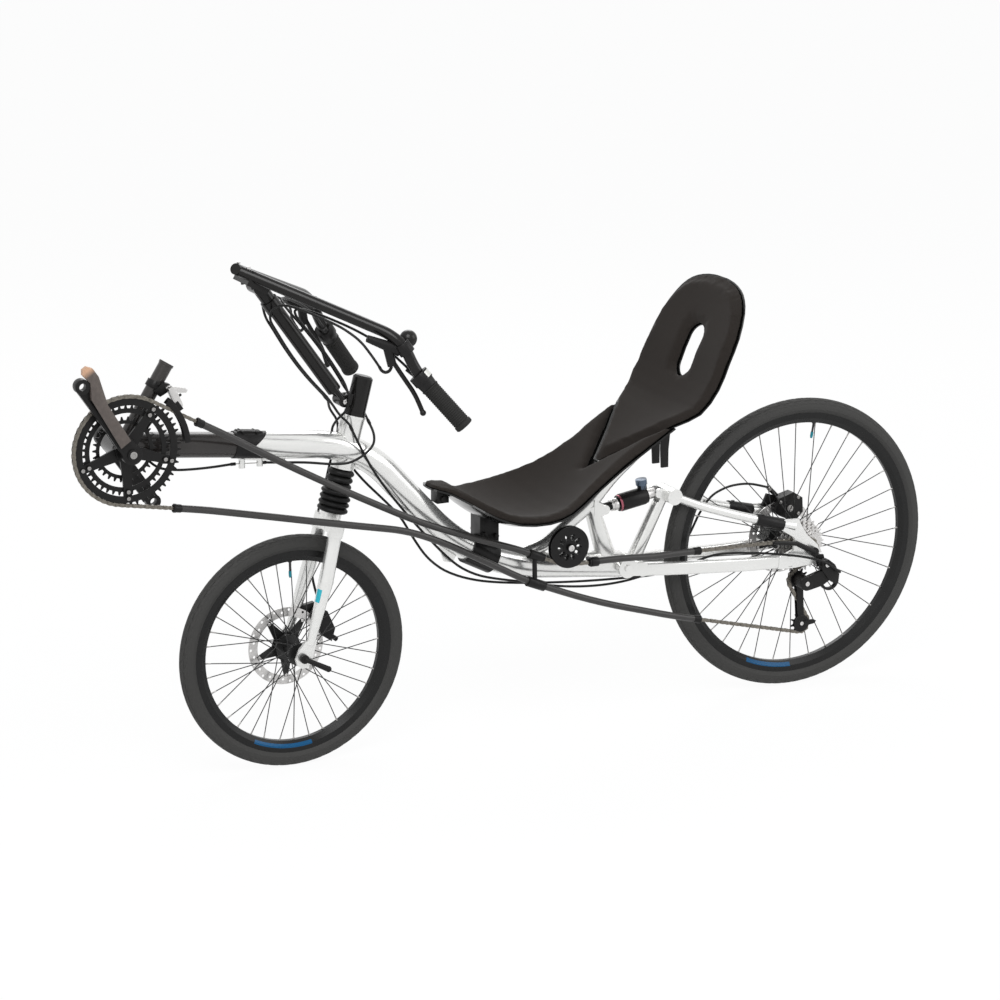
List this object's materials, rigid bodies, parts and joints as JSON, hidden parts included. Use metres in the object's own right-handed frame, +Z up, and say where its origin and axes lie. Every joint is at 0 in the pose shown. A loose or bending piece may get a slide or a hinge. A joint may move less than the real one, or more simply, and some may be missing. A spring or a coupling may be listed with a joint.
{
  "type": "recumbent bicycle",
  "caption": "Short-wheelbase recumbent bicycle with a rear suspension arm, bucket seat, tilting over-seat handlebar mast and a tube-guided chain.",
  "frame": {"origin": "the rider's mount, on top of the seat pad under the hips, in the bicycle's middle plane", "axes": "+X back along the bicycle, +Y to the side away from the chain, +Z up with both wheels on level ground"},
  "size_m": [1.9331, 0.5736, 1.0238],
  "materials": {
    "silver_frame": "brushed silver, clear coated",
    "black_tube": "gloss black anodised",
    "black_alloy": "satin black anodised",
    "steel": "bright steel",
    "seat_foam": "charcoal foam cover",
    "seat_shell": "gloss black laminate",
    "tyre_rubber": "matt black rubber",
    "grip_rubber": "dark grey rubber",
    "chain_tube": "dark grey plastic tube",
    "chain_steel": "oiled chain steel",
    "cable": "black cable housing"
  },
  "bodies": {
    "frame": {"main_frame": "silver_frame", "seat_arch": "silver_frame", "boom": "black_tube", "swing_arm": "silver_frame", "shock_absorber": "black_alloy", "rear_axle": "black_alloy", "rear_caliper": "black_alloy", "seat_pad_lower": "seat_foam", "seat_pad_upper": "seat_foam", "seat_shell_lower": "seat_shell", "seat_shell_upper": "seat_shell", "boom_clamp": "black_alloy", "stay_clamps": "black_alloy", "chain_tube_clips": "chain_tube", "frame_cables": "cable", "seat_clamp": "black_alloy", "seat_bracket": "black_alloy", "chain": "chain_steel", "chain_tube_upper": "chain_tube", "chain_tube_rear": "chain_tube", "chain_tube_return": "chain_tube", "rear_derailleur": "black_alloy", "front_derailleur": "black_alloy", "derailleur_cage": "steel", "idler_post": "black_alloy"},
    "steering": {"fork_cable": "cable", "fork_crown": "silver_frame", "fork_boots": "grip_rubber", "fork_legs": "silver_frame", "front_axle": "black_alloy", "front_caliper": "black_alloy", "stem": "black_tube"},
    "mast": {"mast_cables": "cable", "mast": "black_tube", "handlebar": "black_tube", "grips": "grip_rubber", "twist_shifters": "black_alloy", "brake_levers": "black_alloy", "bell": "black_tube"},
    "front_wheel": {"front_tyre": "tyre_rubber", "front_rim": "black_alloy", "front_hub": "black_alloy", "front_rotor": "steel"},
    "rear_wheel": {"rear_tyre": "tyre_rubber", "rear_rim": "black_alloy", "rear_hub": "black_alloy", "rear_rotor": "steel"},
    "cassette": {"cassette": "steel"},
    "cranks": {"chainrings": "black_alloy", "crank_arms": "black_alloy"},
    "idler": {"idler_wheel": "black_alloy"}
  },
  "joints": [
    {"name": "steering", "type": "hinge", "parent": "frame", "child": "steering", "pos_m": [-0.36, 0, 0.237], "axis": [0.2588, 0, 0.9659], "range_deg": [-35, 35]},
    {"name": "mast_tilt", "type": "hinge", "parent": "steering", "child": "mast", "pos_m": [-0.3875, 0, 0.2705], "axis": [0, -1, 0], "range_deg": [0, 25]},
    {"name": "front_wheel_spin", "type": "hinge", "parent": "steering", "child": "front_wheel", "pos_m": [-0.5, 0, -0.229], "axis": [0, 1, 0], "continuous": true},
    {"name": "rear_wheel_spin", "type": "hinge", "parent": "frame", "child": "rear_wheel", "pos_m": [0.659, 0, -0.1525], "axis": [0, 1, 0], "continuous": true},
    {"name": "crank_spin", "type": "hinge", "parent": "frame", "child": "cranks", "pos_m": [-0.85, 0, 0.231], "axis": [0, 1, 0], "continuous": true},
    {"name": "idler_spin", "type": "hinge", "parent": "frame", "child": "idler", "pos_m": [0.087, 0, -0.075], "axis": [0, 1, 0], "continuous": true},
    {"name": "cassette_spin", "type": "hinge", "parent": "frame", "child": "cassette", "pos_m": [0.659, 0, -0.1525], "axis": [0, 1, 0], "continuous": true}
  ],
  "couplings": [
    {"joint": "idler_spin", "follows": "crank_spin", "ratio": 2.7368},
    {"joint": "cassette_spin", "follows": "crank_spin", "ratio": 4.7273}
  ]
}
